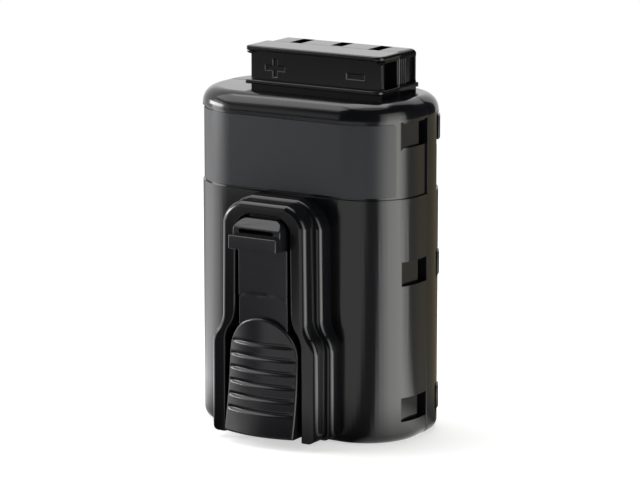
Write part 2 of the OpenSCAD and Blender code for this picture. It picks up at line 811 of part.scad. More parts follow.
module latch_spring() {
  y0 = front_y - wire_d / 2 - 0.1;
  y1 = arm_back - 0.8 + wire_d / 2 + 0.1;
  r = (spring_d - wire_d) / 2;
  per_turn = 12;
  total = spring_turns * per_turn;
  path = [for (i = [0:total]) let (a = 360 * i / per_turn)
    [r * cos(a), y0 + (y1 - y0) * i / total, spring_z + r * sin(a)]];
  color("silver") wire(path, wire_d / 2, 6);
}

// Places a cell upright on the left or upside down on the right
module on_cell(side) {
  if (side < 0) translate([-cell_pitch / 2, cell_y, cell_z]) children();
  else translate([cell_pitch / 2, cell_y, cell_top]) mirror([0, 0, 1]) children();
}

module cell_can(side) {
  color("#c9ccd1") on_cell(side) rotate_extrude() polygon([[0, 0], [can_r, 0], [can_r, rim - 4.6],
    [can_r - roll_d, rim - 3.9], [can_r - roll_d, rim - 3.3], [can_r, rim - 2.6], [can_r, rim],
    [can_r - crimp_w, rim], [can_r - crimp_w, rim - cap_seat], [0, rim - cap_seat]]);
}

module cell_gasket(side) {
  color("#e8e8e4") on_cell(side) translate([0, 0, rim - cap_seat]) difference() {
    cylinder(r = can_r - crimp_w - 0.05, h = cap_seat - 0.05);
    translate([0, 0, -1]) cylinder(r = cap_d / 2 + 0.05, h = cap_seat + 2);
  }
}

module cell_cap(side) {
  color("#d4d7db") on_cell(side) translate([0, 0, rim - cap_seat]) {
    cylinder(d = cap_d, h = cap_seat * 0.65);
    cylinder(d = button_d, h = cap_seat + button_h);
  }
}

module cell_sleeve(side) {
  color("#2f7f86") on_cell(side) translate([0, 0, 0.3]) difference() {
    cylinder(d = cell_d, h = cell_l - 1.9);
    translate([0, 0, -1]) cylinder(r = cell_d / 2 - sleeve_t, h = cell_l + 2);
  }
}

module left_cell_can() { cell_can(-1); }
module left_cell_gasket() { cell_gasket(-1); }
module left_cell_cap() { cell_cap(-1); }
module left_cell_sleeve() { cell_sleeve(-1); }
module right_cell_can() { cell_can(1); }
module right_cell_gasket() { cell_gasket(1); }
module right_cell_cap() { cell_cap(1); }
module right_cell_sleeve() { cell_sleeve(1); }

module base_pad() {
  color("#46484b") translate([0, 0, pad_z]) linear_extrude(pad_t) oval(holder_in);
}

module series_strap() {
  color("#d9dadb") block(-cell_pitch / 2 - series_w / 2, cell_pitch / 2 + series_w / 2,
    cell_y - series_w / 2, cell_y + series_w / 2, strap_z, cell_z);
}

// Strap from the middle of a cell's upper end to a tab that comes up to the board
module end_strap(cell_x, tab_x) {
  block(min(cell_x, tab_x) - strap_w / 2, max(cell_x, tab_x) + strap_w / 2,
    cell_y - strap_w / 2, cell_y + strap_w / 2, cell_top, card_z);
  block(tab_x - tab_w / 2, tab_x + tab_w / 2, cell_y, cell_y + strap_t, card_z - eps, board_z);
}

module positive_strap() { color("#d9dadb") end_strap(-cell_pitch / 2, positive_x); }
module negative_strap() { color("#d9dadb") end_strap(cell_pitch / 2, negative_x); }

module insulating_card() {
  color("#d8d2bd") translate([0, 0, card_z]) linear_extrude(card_t) difference() {
    oval(holder_in);
    for (x = [positive_x, negative_x])
      translate([x - tab_w / 2 - 2 * fit_gap, cell_y - 2 * fit_gap])
        square([tab_w + 4 * fit_gap, strap_t + 4 * fit_gap]);
    translate([0, thermistor_y]) circle(bead_hole);
  }
}

module holder(z0) {
  translate([0, 0, z0]) linear_extrude(holder_h) difference() {
    oval(holder_in);
    for (x = [-1, 1]) translate([x * cell_pitch / 2, cell_y]) circle(bore_r);
  }
}

module lower_cell_holder() {
  color("#e6e4dc") difference() {
    holder(strap_z);
    block(-cell_pitch / 2, cell_pitch / 2, cell_y - series_w / 2 - 2 * fit_gap,
      cell_y + series_w / 2 + 2 * fit_gap, strap_z - 1, cell_z + fit_gap);
  }
}

module upper_cell_holder() {
  color("#e6e4dc") difference() {
    holder(card_z - holder_h);
    translate([0, thermistor_y, 0]) cylinder(r = bead_hole, h = body_h);
  }
}

module thermistor() {
  z0 = card_z - holder_h + bead_d;
  h = 2 * bead_d;
  color("#8c2f2a") translate([0, thermistor_y, z0]) {
    cylinder(d = bead_d, h = h);
    for (x = [-lead_d, lead_d]) translate([x, 0, h - lead_d])
      cylinder(d = lead_d, h = board_z - z0 - h + lead_d);
  }
}

module circuit_board() {
  color("#1f6b3a") block(tower_x - board_l / 2, tower_x + board_l / 2, -board_w / 2, board_w / 2,
    board_z, board_top);
}

// Small block soldered to the front half of the board, by its place in the row
module chip(i, y, w, h) {
  block(part_left(i), part_left(i) + part_l[i], y - w / 2, y + w / 2, board_top, board_top + h);
}

module power_transistors() { color("#222326") for (i = [0, 1]) chip(i, part_y, part_w, transistor_h); }
module control_chip() { color("#2a2b2e") chip(2, part_y, part_w, chip_h); }
module board_capacitors() {
  color("#b59a6a") for (i = [-1:1])
    chip(3, part_y + i * 1.75 * capacitor_w, capacitor_w, capacitor_w);
}
module shunt_resistor() { color("#3a3b3d") chip(4, part_y, part_w, shunt_h); }

// Two sprung blades that pinch the tool's tab, on a foot soldered to the board
module contact(x, y0) {
  w = contact_w / 2;
  g = blade_gap / 2;
  t = blade_t;
  h = blade_h;
  front_prism(y0, y0 + contact_l) translate([x, board_top]) {
    polygon([[-w, 0], [w, 0], [w, h * 0.45], [g + t, h * 0.8], [w - 0.3, h], [w - 0.3 - t, h],
      [g, h * 0.8], [w - t, h * 0.45], [w - t, t], [-w + t, t], [-w + t, h * 0.45],
      [-g, h * 0.8], [-w + 0.3 + t, h], [-w + 0.3, h], [-g - t, h * 0.8], [-w, h * 0.45]]);
  }
}

module positive_contact() { color("#c9a25a") contact(slot_x[0], contact_y); }
module sense_contact() { color("#c9a25a") contact(slot_x[1], contact_y); }
module negative_contact() { color("#c9a25a") contact(slot_x[2], contact_y); }

// Moulded block round the contacts, open above each of them
module contact_carrier() {
  side = contact_w / 2 + contact_room;
  y0 = contact_y - contact_room;
  color("#101113") difference() {
    block(tower_x - board_l / 2, tower_x + board_l / 2, y0 - carrier_wall, board_w / 2,
      board_top, tower_roof - fit_gap);
    for (x = slot_x)
      block(x - side, x + side, y0, contact_y + contact_l + contact_room, board_top - 1, tower_top);
  }
}

front_shell();
rear_shell();
front_label();
latch_lever();
latch_spring();
left_cell_can();
left_cell_gasket();
left_cell_cap();
left_cell_sleeve();
right_cell_can();
right_cell_gasket();
right_cell_cap();
right_cell_sleeve();
base_pad();
series_strap();
positive_strap();
negative_strap();
insulating_card();
lower_cell_holder();
upper_cell_holder();
circuit_board();
power_transistors();
control_chip();
shunt_resistor();
board_capacitors();
thermistor();
contact_carrier();
positive_contact();
sense_contact();
negative_contact();
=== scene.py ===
import json
import math

import bmesh
import bpy
from mathutils import Matrix, Vector


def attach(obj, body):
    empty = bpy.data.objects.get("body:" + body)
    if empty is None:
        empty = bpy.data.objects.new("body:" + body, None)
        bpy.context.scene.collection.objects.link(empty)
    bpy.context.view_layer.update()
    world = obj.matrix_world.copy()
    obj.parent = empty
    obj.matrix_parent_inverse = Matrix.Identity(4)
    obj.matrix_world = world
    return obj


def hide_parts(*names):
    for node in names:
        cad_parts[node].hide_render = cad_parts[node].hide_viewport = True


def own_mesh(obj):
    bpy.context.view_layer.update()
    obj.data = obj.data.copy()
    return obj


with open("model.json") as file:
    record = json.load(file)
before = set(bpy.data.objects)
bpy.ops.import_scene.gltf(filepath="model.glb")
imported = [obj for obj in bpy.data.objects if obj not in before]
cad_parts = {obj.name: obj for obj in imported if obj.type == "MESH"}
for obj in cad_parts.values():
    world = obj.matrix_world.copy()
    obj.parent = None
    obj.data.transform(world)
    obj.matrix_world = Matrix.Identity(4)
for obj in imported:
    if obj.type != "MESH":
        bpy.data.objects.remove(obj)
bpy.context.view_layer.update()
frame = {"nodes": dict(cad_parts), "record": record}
scene = bpy.context.scene
scene.view_settings.view_transform = "Standard"
mm = 0.001
# mesh tolerances: two in metres and an angle in degrees
weld, cutNear, flatAngle = 2e-6, 1e-7, 0.05
# allowances in mm: for a rounding error, for touching a plane, and for staying inside or off an edge
hair, touch, margin, clear = 0.005, 0.02, 0.05, 0.1
print("frame loaded:", len(frame["nodes"]), "nodes")


class Wire:
    # a shader socket that can be used in sums; any other node comes from node()
    def __init__(self, tree, socket=None):
        self.tree = tree
        self.socket = socket

    def node(self, kind, settings=None, inputs=None, out=0):
        made = self.tree.nodes.new(kind)
        for key, value in (settings or {}).items():
            if key == "stops":
                ramp = made.color_ramp
                while len(ramp.elements) < len(value):
                    ramp.elements.new(0.5)
                for stop, (place, colour) in zip(ramp.elements, value):
                    stop.position = place
                    stop.color = colour + (1,)
            else:
                setattr(made, key, value)
        for key, value in (inputs or {}).items():
            if isinstance(value, Wire):
                self.tree.links.new(value.socket, made.inputs[key])
            else:
                made.inputs[key].default_value = value
        return Wire(self.tree, made.outputs[out] if made.outputs else None)

    def maths(self, how, a, b):
        return self.node("ShaderNodeMath", {"operation": how}, {0: a, 1: b})

    def __add__(self, other):
        return self.maths("ADD", self, other)

    __radd__ = __add__

    def __mul__(self, other):
        return self.maths("MULTIPLY", self, other)

    def __sub__(self, other):
        return self.maths("SUBTRACT", self, other)


def newMaterial(name):
    made = bpy.data.materials.new(name)
    made.use_nodes = True
    made.node_tree.nodes.clear()
    return made, Wire(made.node_tree)


cloudNoise = {"Detail": 4.0, "Roughness": 0.55}
grainNoise = {"Detail": 3.0, "Roughness": 0.6}


def surface(name, look):
    # one moulded, rolled or printed finish: two tones, a rough patchiness and a fine relief
    made, w = newMaterial(name)
    place = w.node("ShaderNodeTexCoord", out="Object")
    stretch = look.get("stretch")
    if stretch:
        place = w.node("ShaderNodeMapping", None, {"Vector": place, "Scale": stretch}, "Vector")
    cloud = w.node("ShaderNodeTexNoise", None, dict(cloudNoise, Vector=place, Scale=look["cloud"]), "Fac")
    grain = w.node("ShaderNodeTexNoise", None, dict(grainNoise, Vector=place, Scale=look["grain"]), "Fac")
    tone = w.node("ShaderNodeMix", {"data_type": "RGBA"},
                  {"Factor": cloud, 6: look["low"] + (1,), 7: look["high"] + (1,)}, 2)
    rough = look["rough"] + (cloud - 0.5) * look["roughSpread"] + (grain - 0.5) * look["roughGrain"]
    relief = w.node("ShaderNodeBump", None, {"Height": grain, "Strength": look["reliefStrength"],
                                             "Distance": look["relief"]}, "Normal")
    shader = w.node("ShaderNodeBsdfPrincipled", None,
                    {"Base Color": tone, "Roughness": rough, "Normal": relief,
                     "Metallic": look["metallic"], "IOR": look["ior"]}, "BSDF")
    w.node("ShaderNodeOutputMaterial", None, {"Surface": shader})
    return made


blackPlastic = {"low": (0.0034, 0.0036, 0.0046), "high": (0.005, 0.0053, 0.0064), "cloud": 55.0,
                "grain": 3200.0, "rough": 0.15, "roughSpread": 0.04, "roughGrain": 0.03,
                "relief": 0.000004, "reliefStrength": 0.25, "metallic": 0.0, "ior": 1.47}
latchPlastic = dict(blackPlastic, low=(0.0055, 0.0058, 0.0076), high=(0.0075, 0.0079, 0.0098),
                    rough=0.25, roughSpread=0.05, reliefStrength=0.3)
labelFilm = {"low": (0.025, 0.026, 0.0285), "high": (0.0285, 0.0298, 0.0325), "cloud": 40.0,
             "grain": 5200.0, "rough": 0.32, "roughSpread": 0.03, "roughGrain": 0.05,
             "relief": 0.000003, "reliefStrength": 0.3, "metallic": 0.0, "ior": 1.38}
metalStrip = {"low": (0.56, 0.56, 0.55), "high": (0.68, 0.68, 0.66), "cloud": 120.0, "grain": 900.0,
              "rough": 0.3, "roughSpread": 0.1, "roughGrain": 0.08, "relief": 0.00001,
              "reliefStrength": 0.3, "metallic": 1.0, "ior": 1.47, "stretch": (1.0, 14.0, 1.0)}
finishes = {
    "housing_plastic": blackPlastic,
    "latch_plastic": latchPlastic,
    "label_film": labelFilm,
    "spring_steel": dict(metalStrip, low=(0.42, 0.42, 0.43), high=(0.55, 0.55, 0.56)),
    "can_steel": dict(metalStrip, low=(0.55, 0.56, 0.58), high=(0.66, 0.67, 0.69),
                      stretch=(1.0, 1.0, 0.06)),
    "strap_nickel": metalStrip,
    "contact_metal": dict(metalStrip, low=(0.52, 0.33, 0.1), high=(0.66, 0.45, 0.16),
                          stretch=(1.0, 1.0, 9.0)),
    "gasket_plastic": dict(labelFilm, low=(0.7, 0.7, 0.67), high=(0.78, 0.78, 0.75), rough=0.45),
    "sleeve_film": dict(labelFilm, low=(0.025, 0.18, 0.2), high=(0.03, 0.22, 0.25), rough=0.22),
    "foam": dict(labelFilm, low=(0.045, 0.047, 0.05), high=(0.075, 0.077, 0.08), grain=1500.0, rough=0.9,
                 relief=0.00012, reliefStrength=0.9),
    "card": dict(labelFilm, low=(0.55, 0.5, 0.38), high=(0.66, 0.61, 0.48), grain=2200.0, rough=0.75,
                 relief=0.00003, reliefStrength=0.6),
    "holder_plastic": dict(labelFilm, low=(0.7, 0.68, 0.62), high=(0.78, 0.76, 0.7), rough=0.42),
    "board": dict(labelFilm, low=(0.012, 0.12, 0.04), high=(0.02, 0.16, 0.055), cloud=900.0, rough=0.28),
    "chip_body": dict(labelFilm, low=(0.014, 0.015, 0.017), high=(0.022, 0.023, 0.025), rough=0.55),
    "resistor_body": dict(labelFilm, low=(0.035, 0.037, 0.04), high=(0.05, 0.052, 0.055), rough=0.5),
    "capacitor_body": dict(labelFilm, low=(0.36, 0.25, 0.12), high=(0.45, 0.32, 0.16), rough=0.4),
    "thermistor_bead": dict(labelFilm, low=(0.2, 0.022, 0.015), high=(0.28, 0.035, 0.024), rough=0.18),
    "carrier_plastic": dict(blackPlastic, low=(0.004, 0.004, 0.0045), high=(0.006, 0.006, 0.0065),
                            rough=0.4),
}
materials = {slot: surface(slot, look) for slot, look in finishes.items()}
slotOfNode = {entry["node"]: entry["material_slot"] for entry in frame["record"]["subparts"]}
for nodeName, nodeObject in frame["nodes"].items():
    nodeObject.data.materials.clear()
    nodeObject.data.materials.append(materials[slotOfNode[nodeName]])
print("finishes made:", len(materials))


def mergedCopy(nodeName):
    # a CAD node's triangles joined up, with its flat faces made whole again
    bm = bmesh.new()
    bm.from_mesh(frame["nodes"][nodeName].data)
    bmesh.ops.remove_doubles(bm, verts=bm.verts, dist=weld)
    bmesh.ops.dissolve_limit(bm, angle_limit=math.radians(flatAngle), verts=bm.verts, edges=bm.edges)
    return bm


def roundEdges(bm, width, chosen, segments=3, leastAngle=35, clamp=True):
    # rounds the sharp edges whose middle, in mm, passes the test
    edges = []
    for edge in bm.edges:
        if edge.is_manifold and edge.calc_face_angle(0) > math.radians(leastAngle):
            middle = (edge.verts[0].co + edge.verts[1].co) / 2 / mm
            if chosen(edge, middle):
                edges.append(edge)
    if edges:
        bmesh.ops.bevel(bm, geom=edges, offset=width * mm, offset_type="OFFSET", segments=segments,
                        profile=0.5, affect="EDGES", clamp_overlap=clamp, material=-1)


def turnCorner(bm, corner, chosen, cuts=6):
    # draws a corner in to a larger radius: cuts along rays from its middle, then slides every point
    # along its ray
    middle, first, second = (Vector(corner[key]) for key in ("middle", "first", "second"))
    reach, old = corner["reach"], corner["old"]
    for step in range(1, cuts):
        turn = math.pi / 2 * step / cuts
        faces = [face for face in bm.faces if chosen(face.calc_center_median() / mm)]
        edges = {edge for face in faces for edge in face.edges}
        verts = {vert for face in faces for vert in face.verts}
        bmesh.ops.bisect_plane(bm, geom=faces + list(edges) + list(verts), dist=cutNear, plane_co=middle * mm,
                               plane_no=second * math.cos(turn) - first * math.sin(turn))
    for vert in bm.verts:
        spot = vert.co / mm
        u, v = (spot - middle).dot(first), (spot - middle).dot(second)
        if u <= 0 or v <= 0 or not chosen(spot):
            continue
        c, s = u / math.hypot(u, v), v / math.hypot(u, v)
        edge, flat = reach / max(c, s), reach - old
        if reach * min(c, s) / max(c, s) > flat:
            edge = flat * (c + s) + math.sqrt(old ** 2 - (flat * (c - s)) ** 2)
        if math.hypot(u, v) < edge + margin:
            vert.co += (first * u + second * v) * (reach / edge - 1) * mm


def cutPlane(bm, place, normal, **drop):
    bmesh.ops.bisect_plane(bm, geom=bm.verts[:] + bm.edges[:] + bm.faces[:], dist=cutNear,
                           plane_co=Vector(place) * mm, plane_no=normal, **drop)


def cutAcross(bm, levels, axis=(0, 0, 1)):
    # cuts that keep the shading near openings and corners from running across whole faces
    for level in levels:
        cutPlane(bm, Vector(axis) * level, axis)


def addBox(bm, middle, size):
    scaled = Matrix.Diagonal(tuple(length * mm for length in size) + (1,))
    bmesh.ops.create_cube(bm, size=1, matrix=Matrix.Translation(Vector(middle) * mm) @ scaled)


def addFrom(bm, other):
    # takes the second shape into the first
    mesh = bpy.data.meshes.new("added")
    other.to_mesh(mesh)
    other.free()
    bm.from_mesh(mesh)
    bpy.data.meshes.remove(mesh)


def closeHoles(bm):
    bmesh.ops.holes_fill(bm, edges=[edge for edge in bm.edges if edge.is_boundary])
    bmesh.ops.recalc_face_normals(bm, faces=bm.faces)


def meshObject(name, bm, creaseAngle=32):
    for face in bm.faces:
        face.smooth = True
    for edge in bm.edges:
        edge.smooth = not edge.is_manifold or edge.calc_face_angle(0) < math.radians(creaseAngle)
    mesh = bpy.data.meshes.new(name)
    bm.to_mesh(mesh)
    bm.free()
    if "custom_normal" in mesh.attributes:  # left over from the CAD triangles
        mesh.attributes.remove(mesh.attributes["custom_normal"])
    made = bpy.data.objects.new(name, mesh)
    scene.collection.objects.link(made)
    return made


def carve(bm, tool):
    # the first shape with the second one cut out of it
    piece, cutter = meshObject("uncut", bm), meshObject("cutter", tool)
    cut = piece.modifiers.new("carve", "BOOLEAN")
    cut.operation = "DIFFERENCE"
    cut.solver = "EXACT"
    cut.use_self = True
    cut.object = cutter
    carved = bpy.data.meshes.new_from_object(piece.evaluated_get(bpy.context.evaluated_depsgraph_get()))
    bm = bmesh.new()
    bm.from_mesh(carved)
    bpy.data.objects.remove(piece)
    bpy.data.objects.remove(cutter)
    bpy.data.meshes.remove(carved)
    return bm


def dressPiece(piece, body, slot, *nodes):
    even = piece.modifiers.new("evenNormals", "WEIGHTED_NORMAL")
    even.keep_sharp = True
    even.weight = 60
    piece.data.materials.clear()
    piece.data.materials.append(materials[slot])
    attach(piece, body)
    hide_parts(*nodes)
    print("piece:", piece.name, len(piece.data.polygons), "faces")
    return piece


def onPlane(value, plane):
    return abs(value - plane) < touch


def climb(edge):
    return abs(edge.verts[0].co.z - edge.verts[1].co.z) / mm


# the housing's sizes that both shells share, in mm
housing = {"halfWidth": 25.0, "cornerRadius": 12.2, "frontY": -15.1, "shoulderZ": 70.2, "skin": 1.5,
           "towerLeft": -12.8, "towerRight": 18.2, "towerFront": -6.9, "towerBack": 6.9, "towerTop": 78.9,
           "towerSkin": 0.6, "towerRound": 0.22, "pillarRound": 0.4, "pillarDeep": 0.3, "pillarLeast": 2.0,
           "lipLow": 77.8, "beadLow": 71.0, "beadHigh": 71.9,
           "rearBeadLeft": 0.8, "rearBeadRight": 0.3, "rearBeadBack": 0.35,
           "bandLow": 50.6, "bandHigh": 66.3, "bandRound": 0.14, "seamRound": 0.22,
           "snapHeights": (6.9, 35.15, 63.4), "snapHigh": 5.0, "snapRound": 0.14, "snapDeep": 1.6,
           "snapLow": 2.0, "snapTop": 67.2, "hookX": 23.0, "hookY": 4.0, "hookRound": 0.2,
           "cutBeside": {"snap": 0.7, "bead": 0.5, "end": 0.7}}


def onSkin(spot, dims):
    # near the outside of the housing or of the tower, seen along Y
    if spot.z > dims["shoulderZ"] - clear:
        inside = min(spot.x - dims["towerLeft"], dims["towerRight"] - spot.x, dims["towerTop"] - spot.z)
        return inside < dims["towerSkin"]
    return min(dims["halfWidth"] - abs(spot.x), dims["shoulderZ"] - spot.z, spot.z) < dims["skin"]


def onBead(spot, dims):
    return dims["beadLow"] - margin < spot.z < dims["beadHigh"] + margin


def onTowerWall(spot, dims):
    # between the bead and the lip, off the seam
    return abs(spot.y) > touch and dims["beadHigh"] + clear < spot.z < dims["lipLow"] - clear


def trimTower(bm, dims, left, right, front, back):
    # draws the bead and the lip in towards the tower's walls, to these shares of their overhang
    for vert in bm.verts:
        spot = vert.co / mm
        if not onBead(spot, dims) and spot.z < dims["lipLow"] - margin:
            continue
        for axis, wall, side, share in ((0, "towerLeft", -1, left), (0, "towerRight", 1, right),
                                        (1, "towerFront", -1, front), (1, "towerBack", 1, back)):
            past = (spot[axis] - dims[wall]) * side
            if past > hair:
                vert.co[axis] = (dims[wall] + side * past * share) * mm


def roundShell(bm, dims):
    # seam, label band, tower and snap edges that the two shells have in common
    halfSnap = dims["snapHigh"] / 2
    snapFrom = dims["halfWidth"] - dims["snapDeep"]
    beside = dims["cutBeside"]
    cutAcross(bm, [z + side * (halfSnap + beside["snap"]) for z in dims["snapHeights"] for side in (-1, 1)])
    cutAcross(bm, [dims["beadHigh"] + beside["bead"], dims["lipLow"] - beside["bead"]])
    cutAcross(bm, [dims["towerLeft"] + beside["end"], dims["towerRight"] - beside["end"]], (1, 0, 0))
    roundEdges(bm, dims["seamRound"], lambda e, p: e.is_convex and onPlane(p.y, 0) and onSkin(p, dims),
               2, clamp=False)
    roundEdges(bm, dims["bandRound"], lambda e, p: e.is_convex and abs(p.y) > clear and onSkin(p, dims)
               and (onPlane(p.z, dims["bandLow"]) or onPlane(p.z, dims["bandHigh"])), 2)
    roundEdges(bm, dims["pillarRound"], lambda e, p: e.is_convex and onTowerWall(p, dims)
               and p.x > dims["towerRight"] - dims["pillarDeep"] and climb(e) > dims["pillarLeast"])
    roundEdges(bm, dims["towerRound"], lambda e, p: e.is_convex and onTowerWall(p, dims)
               and onSkin(p, dims), 2)
    roundEdges(bm, dims["hookRound"], lambda e, p: e.is_convex and abs(p.x) > dims["hookX"]
               and p.y > dims["hookY"] and any(abs(p.z - z) < halfSnap + margin for z in dims["snapHeights"]),
               2, clamp=False)
    roundEdges(bm, dims["snapRound"], lambda e, p: e.is_convex and abs(p.x) > snapFrom and p.y > touch
               and dims["snapLow"] < p.z < dims["snapTop"], 2)


# front shell: rounder corners on the surround, longer finger pockets, polarity marks and soft edges
frontShell = {"faceY": -23.2, "stepY": -19.0, "archLow": 40.0, "channelRound": 0.3, "channelRim": 3.0,
              "face": {"half": 10.0, "top": 50.1, "old": 4.6, "reach": 6.2},
              "step": {"half": 11.2, "top": 50.6, "old": 5.8, "reach": 7.4},
              "channel": {"half": 6.7, "top": 47.5, "old": 3.0, "reach": 4.3},
              "root": {"round": 0.5, "fromX": 9.8, "low": 3.0, "high": 50.0},
              "trim": 0.1, "lipRoom": 0.06, "collarLeft": 0.85, "collarRight": 0.3,
              "bead": {"front": 1.1, "corner": 1.8, "edge": 0.28},
              "lip": {"front": 0.75, "corner": 1.6, "edge": 0.42},
              "hollow": {"side": 1.25, "front": 1.3, "high": 2.0}, "markDepth": 0.4, "markSlope": 0.2,
              "markZone": {"left": -10.0, "right": 15.0, "low": 72.5, "high": 76.6},
              "plus": {"x": -7.1, "z": 74.5, "bars": [(4.5, 0.9), (0.9, 3.5)]},
              "minus": {"x": 12.0, "z": 74.3, "bars": [(4.0, 0.95)]},
              "pocket": {"start": -8.2, "startDeep": 0.3, "end": -1.9, "endDeep": 1.1, "past": 1.0}}


def frontCutters(dims):
    # bars for the two marks, and a wedge for every pocket on both sides
    bm = bmesh.new()
    for mark in (dims["plus"], dims["minus"]):
        for wide, high in mark["bars"]:
            addBox(bm, (mark["x"], housing["towerFront"], mark["z"]), (wide, 2 * dims["markDepth"], high))
    pocket = dims["pocket"]
    half, radius = housing["halfWidth"], housing["cornerRadius"]
    turnY = housing["frontY"] + radius
    startX = half - radius + math.sqrt(radius ** 2 - (pocket["start"] - turnY) ** 2) - pocket["startDeep"]
    plan = [(startX, pocket["start"]), (half - pocket["endDeep"], pocket["end"]),
            (half + pocket["past"], pocket["end"]), (half + pocket["past"], pocket["start"])]
    for z in housing["snapHeights"]:
        for side in (-1, 1):
            low = (z - housing["snapHigh"] / 2) * mm
            face = bm.faces.new([bm.verts.new((side * x * mm, y * mm, low)) for x, y in plan])
            up = bmesh.ops.extrude_face_region(bm, geom=[face])["geom"]
            bmesh.ops.translate(bm, verts=[v for v in up if isinstance(v, bmesh.types.BMVert)],
                                vec=(0, 0, housing["snapHigh"] * mm))
    bmesh.ops.recalc_face_normals(bm, faces=bm.faces)
    return bm


def shapeFront(bm, dims):
    trimTower(bm, housing, dims["trim"], dims["trim"], dims["trim"], 1)
    for vert in bm.verts:  # room for the lip's slab
        if vert.co.z / mm > housing["lipLow"] + clear and vert.co.y / mm < -touch:
            vert.co.z -= dims["lipRoom"] * mm
    stepY, rootY, channel = dims["stepY"] - touch, housing["frontY"] + touch, dims["channel"]

    def inChannel(p):
        return abs(p.x) < channel["half"] + margin and p.z < channel["top"] + margin

    zones = {"face": lambda p: p.z > dims["archLow"] and p.y < stepY and not inChannel(p),
             "step": lambda p: p.z > dims["archLow"] and stepY <= p.y < rootY and not inChannel(p),
             "channel": lambda p: p.z > dims["archLow"] and p.y < rootY and inChannel(p)}
    for name, zone in zones.items():
        for side in (-1, 1):
            arch = dims[name]
            corner = dict(arch, first=(side, 0, 0), second=(0, 0, 1),
                          middle=(side * (arch["half"] - arch["reach"]), 0, arch["top"] - arch["reach"]))
            turnCorner(bm, corner, zone)


def addCollar(bm, dims, collar, low, high, hollow=None):
    # a slab round the front half of the tower, with a round right corner; a hollow one keeps clear of
    # the inside
    left, right = housing["towerLeft"] - dims["collarLeft"], housing["towerRight"] + dims["collarRight"]
    front = housing["towerFront"] - collar["front"]
    middle = ((left + right) / 2, front / 2, (low + high) / 2)
    slab = bmesh.new()
    addBox(slab, middle, (right - left, -front, high - low))
    roundEdges(slab, collar["corner"], lambda e, p: onPlane(p.x, right) and onPlane(p.y, front), 8)
    roundEdges(slab, collar["edge"], lambda e, p: p.y < -margin, 3, 50)
    if hollow:
        room = (right - left - 2 * hollow["side"], 2 * (-front - hollow["front"]), hollow["high"])
        inside = bmesh.new()
        addBox(inside, (middle[0], 0, middle[2]), room)
        slab = carve(slab, inside)
    addFrom(bm, slab)


def buildFrontShell(dims):
    bm = mergedCopy("front_shell")
    shapeFront(bm, dims)
    bm = carve(bm, frontCutters(dims))
    rimHalf, marks, root = dims["channel"]["half"] + dims["channelRim"], dims["markZone"], dims["root"]
    roundEdges(bm, dims["channelRound"], lambda e, p: e.is_convex and onPlane(p.y, dims["faceY"])
               and abs(p.x) < rimHalf, clamp=False)
    roundEdges(bm, dims["markSlope"], lambda e, p: e.is_convex and onPlane(p.y, housing["towerFront"])
               and marks["left"] < p.x < marks["right"] and marks["low"] < p.z < marks["high"], 1)
    roundEdges(bm, root["round"], lambda e, p: not e.is_convex and onPlane(p.y, housing["frontY"])
               and abs(p.x) > root["fromX"] and root["low"] < p.z < root["high"])
    roundShell(bm, housing)
    addCollar(bm, dims, dims["bead"], housing["beadLow"], housing["beadHigh"], dims["hollow"])
    addCollar(bm, dims, dims["lip"], housing["lipLow"], housing["towerTop"])
    dressPiece(meshObject("frontShellMoulding", bm), "pack", "housing_plastic", "front_shell")


buildFrontShell(frontShell)


# rear shell, with soft edges round its windows and contact slots
def buildRearShell():
    bm = mergedCopy("rear_shell")
    trimTower(bm, housing, housing["rearBeadLeft"], housing["rearBeadRight"], 1, housing["rearBeadBack"])
    roundShell(bm, housing)
    roundEdges(bm, housing["snapRound"], lambda e, p: e.is_convex and onPlane(p.z, housing["towerTop"]), 2)
    dressPiece(meshObject("rearShellMoulding", bm), "pack", "housing_plastic", "rear_shell")


buildRearShell()


# label film, a little shorter than its band, with round corners
frontLabel = {"end": -9.2, "cornerRadius": 1.4, "low": 51.1, "high": 65.8}


def buildLabel(dims):
    bm = mergedCopy("front_label")
    cutPlane(bm, (0, dims["end"], 0), (0, 1, 0), clear_outer=True)
    closeHoles(bm)
    roundEdges(bm, dims["cornerRadius"], lambda e, p: onPlane(p.y, dims["end"])
               and (onPlane(p.z, dims["low"]) or onPlane(p.z, dims["high"])), 6)
    dressPiece(meshObject("frontLabelFilm", bm), "pack", "label_film", "front_label")


buildLabel(frontLabel)


# latch lever: catch and arm from the CAD, thumb pad modelled on a fine grid
latchLever = {"cutZ": 26.6, "armFoot": 12.0, "edgeRound": 0.28, "roundFrontOf": -21.1,
              "crease": {"y": -23.0, "slope": 0.9, "lip": 0.22, "deep": 0.2, "above": 26.8, "low": 29.0,
                         "high": 32.0, "footHigh": 31.4, "footHalf": 5.6, "footFrom": 0.012, "footTo": 0.18},
              "slot": {"half": 4.2, "low": 43.8, "high": 44.9, "backY": -23.72, "deepY": -21.6},
              "pivotY": -19.2, "pivotZ": 4.6, "footRadius": 2.2, "footHalf": 8.2, "webLow": 2.4,
              "webHigh": 6.4, "trunnionRadius": 1.25, "trunnionHalf": 10.2, "rodSides": 48}
thumbPad = {"halfWidth": 8.2, "top": 26.4, "low": 2.2, "crownY": -24.3, "back": -21.0, "crown": 1.5,
            "swing": 2.3, "grooves": 6, "grooveStart": 1.2, "groovePitch": 2.8, "grooveHalf": 0.65,
            "grooveDepth": 0.34, "grooveEdge": 0.3, "grooveFade": 2.0, "rimRound": 0.45,
            "columns": 76, "bodyRows": 170, "headRows": 60}


